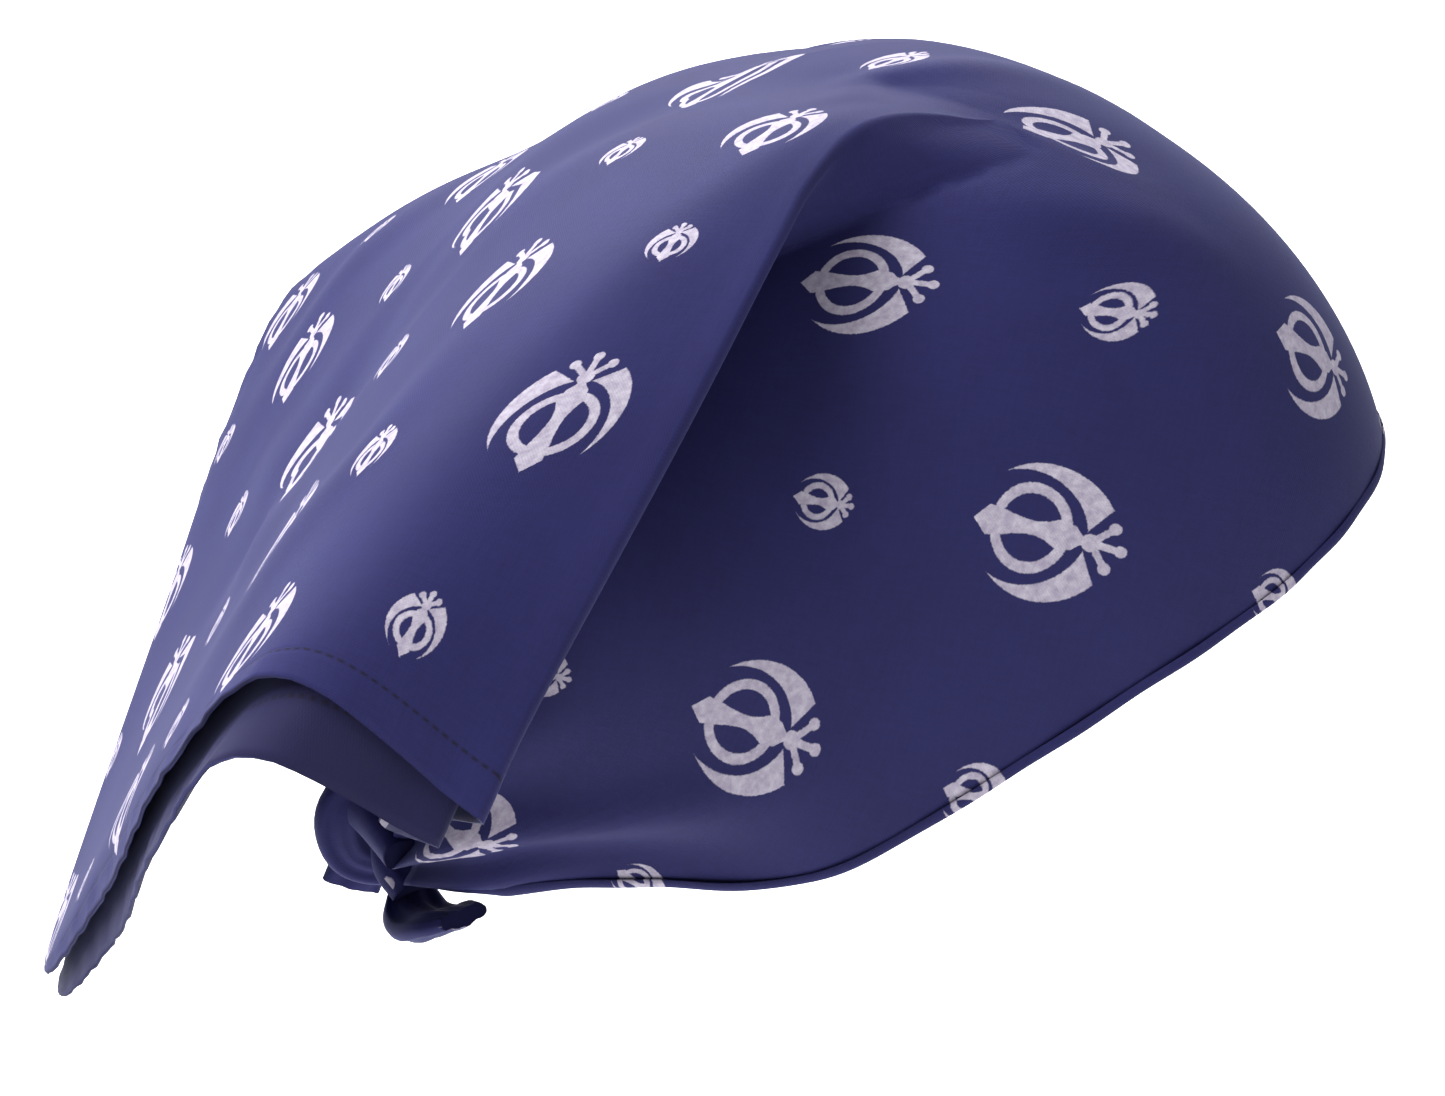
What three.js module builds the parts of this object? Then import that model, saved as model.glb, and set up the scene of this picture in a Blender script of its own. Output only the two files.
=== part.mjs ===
// Folded square kerchief tied over the head: a taut cap with the side corners knotted at the nape,
// and the two free layers hanging behind as a flared back flap.
// Millimetres. The wearer looks along -Y, +Z is up, the wearer's right side is -X.
// Tables give each place as out (distance from the middle plane), back and up from the head's centre, as
// shares of the head form's half width, half length and roof.
import * as THREE from 'three';

const seatHeight = 84.6;
const wall = 1.0;
const layerGap = 0.3;
const flapLayerGap = 4;
const innerStart = 8;
const hemWidth = 6.5;
const hemWall = 0.7;
const creaseRadius = 1.9;
const headForm = { halfWidth: 77, halfLength: 97, roof: 89.5, jaw: 110, power: 2.4, profile: 1.78, forward: 3, low: 4 };
const foldRound = 1.15;
const knot = { back: 1.1, up: -0.804, halfWide: 18.7, halfDeep: 11, halfHigh: 12, twist: 1.1 };

// A row per rib of the cap, from the forehead to the knot. Columns run from the folded band edge
// up to the top line; hug is how closely the rib lies on the head and rise how far, in walls, its top end
// stands off the head.
const capRibs = [
  { hug: 1, rise: 5.5, band: [0, -1.07, 0.19], low: [0, -0.93, 0.56],
    mid: [0, -0.6, 0.83], high: [0, -0.14, 0.98], top: [0, 0.34, 0.96] },
  { hug: 1, rise: 1.5, band: [0.42, -0.99, 0.15], low: [0.5, -0.87, 0.46],
    mid: [0.49, -0.62, 0.72], high: [0.43, -0.29, 0.9], top: [0.36, 0.08, 0.97] },
  { hug: 1, rise: 0, band: [0.72, -0.81, 0.06], low: [0.76, -0.73, 0.33],
    mid: [0.73, -0.59, 0.57], high: [0.66, -0.43, 0.74], top: [0.56, -0.16, 0.86] },
  { hug: 1, rise: 0, band: [0.88, -0.6, -0.06], low: [0.93, -0.46, 0.2],
    mid: [0.93, -0.29, 0.47], high: [0.86, -0.12, 0.69], top: [0.72, 0.05, 0.83] },
  { hug: 1, rise: 0, band: [0.95, -0.31, -0.22], low: [1, -0.14, 0.1],
    mid: [0.99, 0.02, 0.38], high: [0.9, 0.16, 0.6], top: [0.75, 0.3, 0.76] },
  { hug: 1, rise: 0, band: [0.97, 0, -0.44], low: [1, 0.15, -0.08],
    mid: [1, 0.3, 0.2], high: [0.88, 0.46, 0.45], top: [0.7, 0.58, 0.62] },
  { hug: 0.9, rise: 0, band: [0.86, 0.31, -0.67], low: [0.94, 0.42, -0.28],
    mid: [0.9, 0.55, 0.02], high: [0.78, 0.69, 0.27], top: [0.6, 0.82, 0.4] },
  { hug: 0.4, rise: 0, band: [0.68, 0.63, -0.75], low: [0.76, 0.69, -0.48],
    mid: [0.72, 0.79, -0.24], high: [0.6, 0.89, -0.07], top: [0.44, 0.97, 0.05] },
  { hug: 0, rise: 0, band: [0.52, 0.88, -0.79], low: [0.52, 0.94, -0.67],
    mid: [0.47, 1, -0.53], high: [0.39, 1.04, -0.42], top: [0.31, 1.06, -0.35] },
  { hug: 0, rise: 0, band: [0.27, 1.06, -0.86], low: [0.26, 1.08, -0.82],
    mid: [0.25, 1.09, -0.78], high: [0.23, 1.09, -0.73], top: [0.22, 1.08, -0.69] },
];

// A row per level of the back flap, from the crown down to the hem. Columns run from the root, where the
// sheet leaves the cap's top line (rib is its place among the ribs, lift its height off the cap in walls),
// under the flap and round its forward crease, then over the back to the middle. Drop is how much lower,
// in walls, the left side's crease and face hang.
const flapLevels = [
  { rib: 3.35, lift: 1.8, drop: 3, under: [0.72, 0.18, 0.83], crease: [0.71, 0.2, 0.9],
    face: [0.68, 0.32, 0.9], ridge: [0.5, 0.5, 0.86], back: [0.26, 0.69, 0.77], middle: [0, 0.83, 0.65] },
  { rib: 5.07, lift: 1.2, drop: 6.5, under: [0.86, 0.5, 0.62], crease: [1.05, 0.36, 0.74],
    face: [1, 0.64, 0.73], ridge: [0.73, 0.88, 0.6], back: [0.36, 1.07, 0.38], middle: [0, 1.2, 0.12] },
  { rib: 6.77, lift: 0.8, drop: 0, under: [0.88, 0.81, 0.2], crease: [1.34, 0.55, 0.49],
    face: [1.28, 0.94, 0.48], ridge: [0.93, 1.19, 0.25], back: [0.48, 1.38, -0.1], middle: [0, 1.55, -0.43] },
  { rib: 8.55, lift: 0.9, drop: -6, under: [0.86, 1.01, -0.31], crease: [1.62, 0.84, 0.05],
    face: [1.53, 1.15, 0.23], ridge: [1.15, 1.4, -0.06], back: [0.65, 1.6, -0.48], middle: [0, 1.82, -1.01] },
  { rib: 8.9, lift: 0.9, drop: -7, under: [0.88, 1.06, -0.44], crease: [1.7, 0.94, -0.14],
    face: [1.6, 1.25, 0.12], ridge: [1.21, 1.47, -0.19], back: [0.69, 1.65, -0.66], middle: [0, 1.86, -1.12] },
];
// Above these levels the flap leaves the crown along the cap's top line: the rib each column starts from.
const crownStart = { rib: 1.62, lift: 0.8, under: 1.56, crease: 1.48, face: 1.1, ridge: 0.72, back: 0.36, middle: 0 };
// How far the inner layer reaches below the outer one at the hem, in the same columns, as shares of the
// head form's half length.
const innerReach = { root: 0, under: 0.035, crease: 0.07, face: 0.135, ridge: 0.135, back: 0.08, middle: 0.04 };

// How much of a level's drop each column takes.
const dropShare = { under: 0.5, crease: 1, face: 1, ridge: 0.7, back: 0.3, middle: 0 };

const ribColumns = ['band', 'low', 'mid', 'high', 'top'];
const flapColumns = ['root', 'under', 'crease', 'face', 'ridge', 'back', 'middle'];

const vec = ([x, y, z]) => new THREE.Vector3(x, y, z);
const placed = ([out, back, up]) => vec([out * headForm.halfWidth, back * headForm.halfLength, up * headForm.roof]);
const mirrored = (p) => new THREE.Vector3(-p.x, p.y, p.z);

function spline(points, share) {
  const last = points.length - 1;
  const at = Math.min(Math.max(share, 0), 1) * last;
  const i = Math.min(Math.floor(at), last - 1);
  const f = at - i;
  const b = points[i];
  const c = points[i + 1];
  const a = points[i - 1] ?? b.clone().multiplyScalar(2).sub(c);
  const d = points[i + 2] ?? c.clone().multiplyScalar(2).sub(b);
  const out = new THREE.Vector3();
  for (const k of ['x', 'y', 'z']) {
    const m0 = (c[k] - a[k]) / 2;
    const m1 = (d[k] - b[k]) / 2;
    const rise = c[k] - b[k];
    out[k] = b[k] + f * m0 + f * f * (3 * rise - 2 * m0 - m1) + f * f * f * (m0 + m1 - 2 * rise);
  }
  return out;
}

function onHead(p, hug) {
  const { halfWidth, halfLength, roof, jaw, power, profile, forward, low } = headForm;
  const middle = new THREE.Vector3(0, -forward, -low);
  const q = p.clone().sub(middle);
  const high = q.z > 0 ? roof : jaw;
  const round = Math.abs(q.y / halfLength) ** profile + Math.abs(q.z / high) ** profile;
  const size = Math.abs(q.x / halfWidth) ** power + round ** (power / profile);
  return middle.addScaledVector(q, 1 + hug * (size ** (-1 / power) - 1));
}

// Near half of the cap's outer face: along runs forehead to knot, across runs band edge to top line.
function capHalf(along, across) {
  const ribs = capRibs.map((rib) => spline(ribColumns.map((c) => placed(rib[c])), across));
  const first = ribs[0];
  const mirrorRib = mirrored(ribs[1]);
  const p = spline([mirrorRib, ...ribs], (1 + along * (ribs.length - 1)) / ribs.length);
  const rest = along * (capRibs.length - 1);
  const i = Math.min(Math.floor(rest), capRibs.length - 2);
  const between = (c) => capRibs[i][c] + (capRibs[i + 1][c] - capRibs[i][c]) * (rest - i);
  if (along === 0) p.x = first.x;
  const out = onHead(p, between('hug'));
  out.z += wall * between('rise') * Math.max(0, 2 * across - 1) ** 1.6;
  return out;
}

// The flap's root at a level: just past the cap's top line and a little off its surface.
function flapRoot(rib, lift, inset) {
  const along = rib / (capRibs.length - 1);
  const edge = capHalf(along, 1);
  const past = edge.clone().sub(capHalf(along, 0.96)).normalize();
  const run = capHalf(Math.min(along + 0.02, 1), 1).sub(capHalf(Math.max(along - 0.02, 0), 1)).normalize();
  const off = past.clone().cross(run).normalize();
  if (off.x * edge.x + off.y * edge.y + off.z * (edge.z + 60) < 0) off.negate();
  const low = THREE.MathUtils.smoothstep(rib, 3, 5);
  return edge.addScaledVector(past, 0.8 + 0.8 * inset).addScaledVector(off, lift + (0.8 * low - 0.4) * inset);
}

// Rounds the corner of a section between two neighbours with a small arc.
function roundedCorner(before, corner, after, radius, steps) {
  const a = before.clone().sub(corner);
  const b = after.clone().sub(corner);
  const reach = Math.min(a.length(), b.length()) * 0.45;
  a.normalize();
  b.normalize();
  const half = Math.acos(THREE.MathUtils.clamp(a.dot(b), -0.999, 0.999)) / 2;
  const r = Math.min(radius, reach * Math.tan(half));
  const mid = a.clone().add(b).normalize();
  const centre = corner.clone().addScaledVector(mid, r / Math.sin(half));
  const from = corner.clone().addScaledVector(a, r / Math.tan(half)).sub(centre);
  const to = corner.clone().addScaledVector(b, r / Math.tan(half)).sub(centre);
  const turn = Math.PI - 2 * half;
  const out = [];
  for (let k = 0; k <= steps; k += 1) {
    const w = k / steps;
    const p = from.clone().multiplyScalar(Math.sin((1 - w) * turn) / Math.sin(turn));
    p.addScaledVector(to, Math.sin(w * turn) / Math.sin(turn));
    out.push(centre.clone().add(p));
  }
  return out;
}

// One level of a half flap, as points from the root under the crease and over to the middle.
function flapSection(level, radius, cells) {
  const { root, under, crease, face, ridge, back, middle } = level;
  const beyond = mirrored(back);
  const outside = [];
  for (let k = 0; k <= 24; k += 1) outside.push(spline([crease, face, ridge, back, middle, beyond], (k / 24) * 0.8));
  const inside = [];
  for (let k = 0; k <= 8; k += 1) inside.push(spline([root, under, crease], k / 8));
  const arc = roundedCorner(inside[5], crease, outside[3], radius, cells.crease);
  const path = [];
  const trimIn = inside.slice(0, 8).filter((p) => p.distanceTo(crease) > arc[0].distanceTo(crease) + 1);
  const trimOut = outside.slice(1).filter((p) => p.distanceTo(crease) > arc.at(-1).distanceTo(crease) + 1);
  path.push(...resample([...trimIn, arc[0]], cells.under));
  path.push(...arc.slice(1, -1));
  path.push(...resample([arc.at(-1), ...trimOut], cells.outer));
  path.at(-1).x = 0;
  return path;
}

function resample(points, cells) {
  const runs = [0];
  for (let k = 1; k < points.length; k += 1) runs.push(runs[k - 1] + points[k].distanceTo(points[k - 1]));
  const out = [];
  for (let n = 0; n <= cells; n += 1) {
    const want = (runs.at(-1) * n) / cells;
    let k = 1;
    while (k < points.length - 1 && runs[k] < want) k += 1;
    const f = (want - runs[k - 1]) / (runs[k] - runs[k - 1] || 1);
    out.push(points[k - 1].clone().lerp(points[k], f));
  }
  return out;
}

function levelAt(levels, share) {
  const out = {};
  for (const c of flapColumns.slice(1)) out[c] = spline(levels.map((l) => l[c]), share);
  const seam = spline(levels.map((l) => new THREE.Vector3(l.rib, l.lift, l.inset)), share);
  out.root = mirrored(flapRoot(seam.x, seam.y, seam.z));
  return out;
}

// The levels of the outer layer on the right side, -1, or the left side, 1, both set out on the right.
function sideLevels(side) {
  return [crownStart, ...flapLevels].map((l) => {
    const out = { rib: l.rib, lift: l.lift * wall, inset: 0 };
    for (const c of flapColumns.slice(1)) {
      out[c] = mirrored(l === crownStart ? flapRoot(l[c], out.lift, 0) : placed(l[c]));
      if (side > 0 && l.drop) out[c].z -= l.drop * wall * dropShare[c];
    }
    out.root = mirrored(flapRoot(out.rib, out.lift, 0));
    return out;
  });
}

// The levels of the inner layer: the same sheet moved inside the outer one and reaching lower.
function innerLevels(levels, inset) {
  return levels.map((level, n) => {
    const start = n === 0 ? innerStart : 0;
    const near = levels[Math.max(n - 1, 0)];
    const far = levels[Math.min(n + 1, levels.length - 1)];
    const out = {};
    flapColumns.forEach((c, k) => {
      const left = level[flapColumns[Math.max(k - 1, 0)]];
      const right = k === flapColumns.length - 1 ? mirrored(level.back) : level[flapColumns[k + 1]];
      const down = far[c].clone().sub(near[c]).normalize();
      const p = level[c].clone();
      if (c === 'crease') {
        const a = left.clone().sub(p).normalize();
        const b = right.clone().sub(p).normalize();
        const half = Math.max(a.angleTo(b) / 2, 0.3);
        const room = Math.max(right.distanceTo(p) * 0.45, inset + 2);
        p.addScaledVector(a.add(b).normalize(), Math.min(inset / Math.sin(half), room));
      } else {
        const across = right.clone().sub(left).normalize();
        p.addScaledVector(across.cross(down).normalize(), -inset);
      }
      p.addScaledVector(down, n === levels.length - 1 ? innerReach[c] * headForm.halfLength : start);
      out[c] = p;
    });
    out.middle.x = 0;
    return { ...out, rib: level.rib, lift: level.lift, inset };
  });
}

// A whole sheet as rows of points, from its two halves.
function wholeRows(halfRows, otherRows) {
  return halfRows.map((half, n) => [...half, ...otherRows[n].slice(0, -1).reverse()]);
}

function sheetNormals(rows) {
  const high = rows.length - 1;
  const wide = rows[0].length - 1;
  return rows.map((row, i) => row.map((p, j) => {
    const along = row[Math.min(j + 1, wide)].clone().sub(row[Math.max(j - 1, 0)]);
    const down = rows[Math.min(i + 1, high)][j].clone().sub(rows[Math.max(i - 1, 0)][j]);
    return along.cross(down).normalize();
  }));
}

// A closed wall between two offsets of a sheet.
function wallSolid(name, rows, outside, inside, colour) {
  const normals = sheetNormals(rows);
  const wide = rows[0].length;
  const high = rows.length;
  const points = [];
  for (const offset of [outside, inside]) {
    rows.forEach((row, i) => row.forEach((p, j) => points.push(p.clone().addScaledVector(normals[i][j], offset))));
  }
  const faces = [];
  const id = (side, i, j) => side * wide * high + i * wide + j;
  const quad = (a, b, c, d) => faces.push([a, b, c], [a, c, d]);
  for (let i = 0; i < high - 1; i += 1) {
    for (let j = 0; j < wide - 1; j += 1) {
      quad(id(0, i, j), id(0, i, j + 1), id(0, i + 1, j + 1), id(0, i + 1, j));
      quad(id(1, i, j), id(1, i + 1, j), id(1, i + 1, j + 1), id(1, i, j + 1));
    }
  }
  for (let j = 0; j < wide - 1; j += 1) {
    quad(id(0, 0, j + 1), id(0, 0, j), id(1, 0, j), id(1, 0, j + 1));
    quad(id(0, high - 1, j), id(0, high - 1, j + 1), id(1, high - 1, j + 1), id(1, high - 1, j));
  }
  for (let i = 0; i < high - 1; i += 1) {
    quad(id(0, i, 0), id(0, i + 1, 0), id(1, i + 1, 0), id(1, i, 0));
    quad(id(0, i + 1, wide - 1), id(0, i, wide - 1), id(1, i, wide - 1), id(1, i + 1, wide - 1));
  }
  return facing(name, points, faces, colour);
}

// Turns the faces outward if they came out the other way, and makes the mesh.
function facing(name, points, faces, colour) {
  let volume = 0;
  for (const [a, b, c] of faces) volume += points[a].dot(points[b].clone().cross(points[c]));
  const order = volume < 0 ? [0, 2, 1] : [0, 1, 2];
  const place = [];
  for (const p of points) place.push(p.x, p.y, p.z - seatHeight);
  const index = faces.flatMap((f) => order.map((k) => f[k]));
  const geometry = new THREE.BufferGeometry();
  geometry.setAttribute('position', new THREE.Float32BufferAttribute(place, 3));
  geometry.setIndex(index);
  geometry.computeVertexNormals();
  const mesh = new THREE.Mesh(geometry, new THREE.MeshStandardMaterial({ color: colour, roughness: 0.85 }));
  mesh.name = name;
  return mesh;
}

// A closed body from rings of points, capped by its first and last ring's centre.
function ringSolid(name, rings, colour) {
  const points = rings.flat();
  const n = rings[0].length;
  const faces = [];
  for (let i = 0; i < rings.length - 1; i += 1) {
    for (let j = 0; j < n; j += 1) {
      const a = i * n + j;
      const b = i * n + ((j + 1) % n);
      faces.push([a, b, b + n], [a, b + n, a + n]);
    }
  }
  for (const [ring, first] of [[rings[0], 0], [rings.at(-1), (rings.length - 1) * n]]) {
    const centre = new THREE.Vector3();
    for (const p of ring) centre.addScaledVector(p, 1 / n);
    const c = points.push(centre) - 1;
    for (let j = 0; j < n; j += 1) {
      const a = first + j;
      const b = first + ((j + 1) % n);
      faces.push(first ? [a, b, c] : [b, a, c]);
    }
  }
  return facing(name, points, faces, colour);
}

const cells = { capAlong: 20, capAcross: 11, levels: 13, under: 4, crease: 5, outer: 11 };
const navy = 0x35357a;
const deepNavy = 0x2a2a63;

function capRows() {
  const rows = [];
  for (let j = 0; j <= cells.capAcross; j += 1) {
    const half = [];
    for (let i = 0; i <= cells.capAlong; i += 1) {
      half.push(capHalf(1 - i / cells.capAlong, 1 - j / cells.capAcross));
    }
    rows.push(half);
  }
  return wholeRows(rows, rows.map((row) => row.map(mirrored)));
}

// Rows of one side of the flap, right side -1 or left side 1, each from its root to the middle.
function flapSide(levels, shares, side) {
  return shares.map((share) => {
    const row = flapSection(levelAt(levels, share), creaseRadius, cells);
    return side < 0 ? row : row.map(mirrored);
  });
}

const evenShares = (n) => Array.from({ length: n + 1 }, (_, k) => k / n);

// A turned hem lies against the wrong side of its layer, from a few cells past the crease to the tip.
function hemStrip(name, levels, side, past) {
  const skip = cells.under + cells.crease + past;
  const rows = flapSide(levels, [1 - hemWidth / 80, 1], side).map((row) => {
    const kept = row.slice(skip);
    kept[kept.length - 1] = kept.at(-1).clone().lerp(kept.at(-2), 0.12);
    return side < 0 ? kept : kept.reverse();
  });
  const from = -(wall + layerGap);
  return wallSolid(name, rows, from, from - hemWall, deepNavy);
}

// The band edge is a fold; this bead of cloth closes the two layers along it.
function bandFold(rows) {
  const edge = rows.at(-1);
  const inside = rows.at(-2);
  const rings = edge.map((p, i) => {
    const out = p.clone().sub(inside[i]).normalize();
    const along = edge[Math.min(i + 1, edge.length - 1)].clone().sub(edge[Math.max(i - 1, 0)]).normalize();
    const face = out.clone().cross(along).normalize();
    const centre = p.clone().addScaledVector(out, foldRound + layerGap).addScaledVector(face, foldRound);
    return [0, 1, 2, 3, 4, 5].map((k) => {
      const turn = (k * Math.PI) / 3;
      return centre.clone().addScaledVector(out, Math.cos(turn) * foldRound * 0.95)
        .addScaledVector(face, Math.sin(turn) * foldRound);
    });
  });
  return ringSolid('band_fold', rings, deepNavy);
}

function knotBody() {
  const rings = [];
  for (let i = 1; i < 14; i += 1) {
    const polar = (i / 14) * Math.PI;
    const ring = [];
    for (let j = 0; j < 24; j += 1) {
      const round = (j / 24) * 2 * Math.PI;
      const groove = 1 + 0.09 * Math.cos(3 * round + knot.twist * 2 * Math.cos(polar));
      const r = Math.sin(polar) ** 0.8 * groove;
      ring.push(new THREE.Vector3(
        -knot.halfWide * Math.cos(polar),
        knot.back * headForm.halfLength + knot.halfDeep * r * Math.cos(round),
        knot.up * headForm.roof + knot.halfHigh * r * Math.sin(round),
      ));
    }
    rings.push(ring);
  }
  return ringSolid('knot', rings, deepNavy);
}

// A knotted corner end, a row per place along it: where it is from the knot's middle, as shares of the
// knot's half sizes, its half width as a share of the knot's, and its half thickness as a share of the
// knot's half height.
const rightEnd = [
  { at: [-0.53, -0.34, -1.15], wide: 0.3, thick: 0.25 },
  { at: [-1.02, -0.43, -1.14], wide: 0.4, thick: 0.26 },
  { at: [-1.44, -0.65, -0.95], wide: 0.45, thick: 0.25 },
  { at: [-1.76, -0.93, -0.64], wide: 0.43, thick: 0.22 },
  { at: [-2.03, -1.25, -0.38], wide: 0.3, thick: 0.16 },
];
const leftEnd = [
  { at: [0.21, 0.6, -0.86], wide: 0.29, thick: 0.25 },
  { at: [0.21, 0.72, -1.14], wide: 0.34, thick: 0.24 },
  { at: [0.21, 0.85, -1.42], wide: 0.35, thick: 0.18 },
];

function fromKnot([out, back, up]) {
  return new THREE.Vector3(
    out * knot.halfWide,
    knot.back * headForm.halfLength + back * knot.halfDeep,
    knot.up * headForm.roof + up * knot.halfHigh,
  );
}

function clothEnd(name, rows, upward) {
  const rings = [];
  const steps = 8;
  const places = rows.map((r) => fromKnot(r.at));
  for (let k = 0; k <= steps; k += 1) {
    const share = k / steps;
    const at = spline(places, share);
    const size = spline(rows.map((r) => vec([r.wide * knot.halfWide, r.thick * knot.halfHigh, 0])), share);
    const along = spline(places, Math.min(share + 0.05, 1)).sub(spline(places, Math.max(share - 0.05, 0))).normalize();
    const side = along.clone().cross(vec(upward)).normalize();
    const up = side.clone().cross(along);
    const ring = [];
    for (let j = 0; j < 16; j += 1) {
      const a = (j / 16) * 2 * Math.PI;
      const pleat = 1 + 0.16 * Math.cos(4 * a) * (1 - 0.5 * share);
      ring.push(at.clone().addScaledVector(side, size.x * Math.cos(a)).addScaledVector(up, size.y * pleat * Math.sin(a)));
    }
    rings.push(ring);
  }
  return ringSolid(name, rings, navy);
}

const group = new THREE.Group();
group.name = 'rumal_head_wrap';

const cap = capRows();
const inner = wall + layerGap;
group.add(wallSolid('cap_outer_layer', cap, 0, -wall, navy));
group.add(wallSolid('cap_inner_layer', cap, -inner, -inner - wall, deepNavy));
group.add(bandFold(cap));

const shares = evenShares(cells.levels);
const outerLevels = { right: sideLevels(-1), left: sideLevels(1) };
const insideLevels = {
  right: innerLevels(outerLevels.right, flapLayerGap),
  left: innerLevels(outerLevels.left, flapLayerGap),
};
const bothSides = (levels) => wholeRows(flapSide(levels.right, shares, -1), flapSide(levels.left, shares, 1));
group.add(wallSolid('back_flap_outer_layer', bothSides(outerLevels), 0, -wall, navy));
group.add(wallSolid('back_flap_inner_layer', bothSides(insideLevels), 0, -wall, deepNavy));
group.add(hemStrip('hem_outer_right', outerLevels.right, -1, 3));
group.add(hemStrip('hem_outer_left', outerLevels.left, 1, 3));
group.add(hemStrip('hem_inner_right', insideLevels.right, -1, 1));
group.add(hemStrip('hem_inner_left', insideLevels.left, 1, 1));
group.add(knotBody());
group.add(clothEnd('knot_end_right', rightEnd, [0, 0, 1]));
group.add(clothEnd('knot_end_left', leftEnd, [1, 0, 0.4]));

export default group;
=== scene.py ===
import math
import bpy
import bmesh
import numpy as np
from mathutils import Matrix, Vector


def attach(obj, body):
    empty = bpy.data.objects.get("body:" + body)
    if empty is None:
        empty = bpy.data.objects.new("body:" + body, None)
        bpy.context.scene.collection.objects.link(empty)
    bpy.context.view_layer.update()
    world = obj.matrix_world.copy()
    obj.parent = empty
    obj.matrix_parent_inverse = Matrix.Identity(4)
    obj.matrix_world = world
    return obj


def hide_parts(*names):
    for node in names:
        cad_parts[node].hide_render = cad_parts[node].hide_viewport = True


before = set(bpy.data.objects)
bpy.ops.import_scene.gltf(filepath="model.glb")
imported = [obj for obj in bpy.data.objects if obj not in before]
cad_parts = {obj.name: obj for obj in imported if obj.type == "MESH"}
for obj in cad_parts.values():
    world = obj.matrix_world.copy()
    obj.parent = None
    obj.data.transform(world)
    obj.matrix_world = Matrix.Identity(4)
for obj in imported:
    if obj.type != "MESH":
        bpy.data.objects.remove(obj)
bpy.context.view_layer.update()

print("frame loaded")

# Places are millimetres from the head's centre, which lies this far below the crown seat: out to the left,
# back and up
seatHeight = 84.6

# Camera at the photo's angle
cameraSet = {"place": (-468, 102, 148), "target": (0, 36, -15), "lens": 60.0, "sensor": 36.0, "nearest": 0.01}


def inFrame(p):
    return Vector((p[0] / 1000, p[1] / 1000, (p[2] - seatHeight) / 1000))


def aimed(place, target):
    return (inFrame(target) - inFrame(place)).to_track_quat("-Z", "Y")


cameraData = bpy.data.cameras.new("photoCamera")
cameraData.lens = cameraSet["lens"]
cameraData.sensor_width = cameraSet["sensor"]
cameraData.clip_start = cameraSet["nearest"]
camera = bpy.data.objects.new("photoCamera", cameraData)
camera.location = inFrame(cameraSet["place"])
camera.rotation_euler = aimed(cameraSet["place"], cameraSet["target"]).to_euler()
bpy.context.scene.collection.objects.link(camera)
bpy.context.scene.camera = camera
print("camera placed")


# Shader maths: a wire is a socket that can be added, multiplied and compared
class Wire:
    def __init__(self, shop, socket):
        self.shop = shop
        self.socket = socket

    def math(self, operation, *others, clamp=False):
        values = {index + 1: other for index, other in enumerate(others)}
        return self.shop.node("ShaderNodeMath", {"operation": operation, "use_clamp": clamp}, {0: self, **values})

    def __add__(self, other):
        return self.math("ADD", other)

    def __sub__(self, other):
        return self.math("SUBTRACT", other)

    def __mul__(self, other):
        return self.math("MULTIPLY", other)

    def __truediv__(self, other):
        return self.math("DIVIDE", other)

    def __rsub__(self, other):
        return (self * -1) + other

    __radd__ = __add__
    __rmul__ = __mul__

    def __neg__(self):
        return self * -1

    def high(self, other):
        return self.math("MAXIMUM", other)

    def low(self, other):
        return self.math("MINIMUM", other)

    def size(self):
        return self.math("ABSOLUTE")

    def whole(self):
        return self.math("FLOOR")

    def wave(self):
        return self.math("SINE")

    def root(self):
        return self.high(0).math("SQRT")

    def clamped(self):
        return self.math("ADD", 0, clamp=True)


# One material under construction
class Shop:
    def __init__(self, name):
        self.material = bpy.data.materials.new(name)
        self.material.use_nodes = True
        self.nodes = self.material.node_tree.nodes
        self.links = self.material.node_tree.links
        self.finish = self.nodes["Principled BSDF"]

    def node(self, kind, settings, values):
        made = self.nodes.new(kind)
        stops = settings.pop("stops", [])
        for key, value in settings.items():
            setattr(made, key, value)
        if stops:
            elements = made.color_ramp.elements
            while len(elements) < len(stops):
                elements.new(0.5)
            for element, (place, shade) in zip(elements, stops):
                element.position = place
                element.color = (shade, shade, shade, 1)
        for key, value in values.items():
            self.feed(made.inputs[key], value)
        return Wire(self, made.outputs[0])

    def feed(self, socket, value):
        if isinstance(value, Wire):
            self.links.new(value.socket, socket)
        else:
            socket.default_value = value

    def dress(self, finish):
        for key, value in finish.items():
            self.feed(self.finish.inputs[key], value)

    def parts(self, vector):
        split = self.nodes.new("ShaderNodeSeparateXYZ")
        self.links.new(vector.socket, split.inputs[0])
        return [Wire(self, socket) for socket in split.outputs]

    def place(self, x, y):
        return self.node("ShaderNodeCombineXYZ", {}, {0: x, 1: y})

    def mix(self, share, first, second):
        made = self.nodes.new("ShaderNodeMix")
        made.data_type = "RGBA"
        self.feed(made.inputs[0], share)
        self.feed(made.inputs[6], first)
        self.feed(made.inputs[7], second)
        return Wire(self, made.outputs[2])

    def noise(self, place, scale, detail=3.0, rough=0.5):
        values = {"Vector": place, "Scale": scale, "Detail": detail, "Roughness": rough}
        return self.node("ShaderNodeTexNoise", {}, values)

    def away(self, across, along, centre):
        x = across - centre[0]
        y = along - centre[1]
        return (x * x + y * y).root()


# Print on the cloth's own coordinates, in millimetres: a large and a small emblem by turns on a square grid.
# Small is the small one's size and bold how much thicker its lines are; edge is the ink's soft edge
printSet = {"side": 590.0, "first": 16.4, "pitch": 42.86, "small": 0.434, "bold": 0.3, "edge": 0.22,
            "raggedScale": 1.9, "ragged": 0.385}

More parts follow.
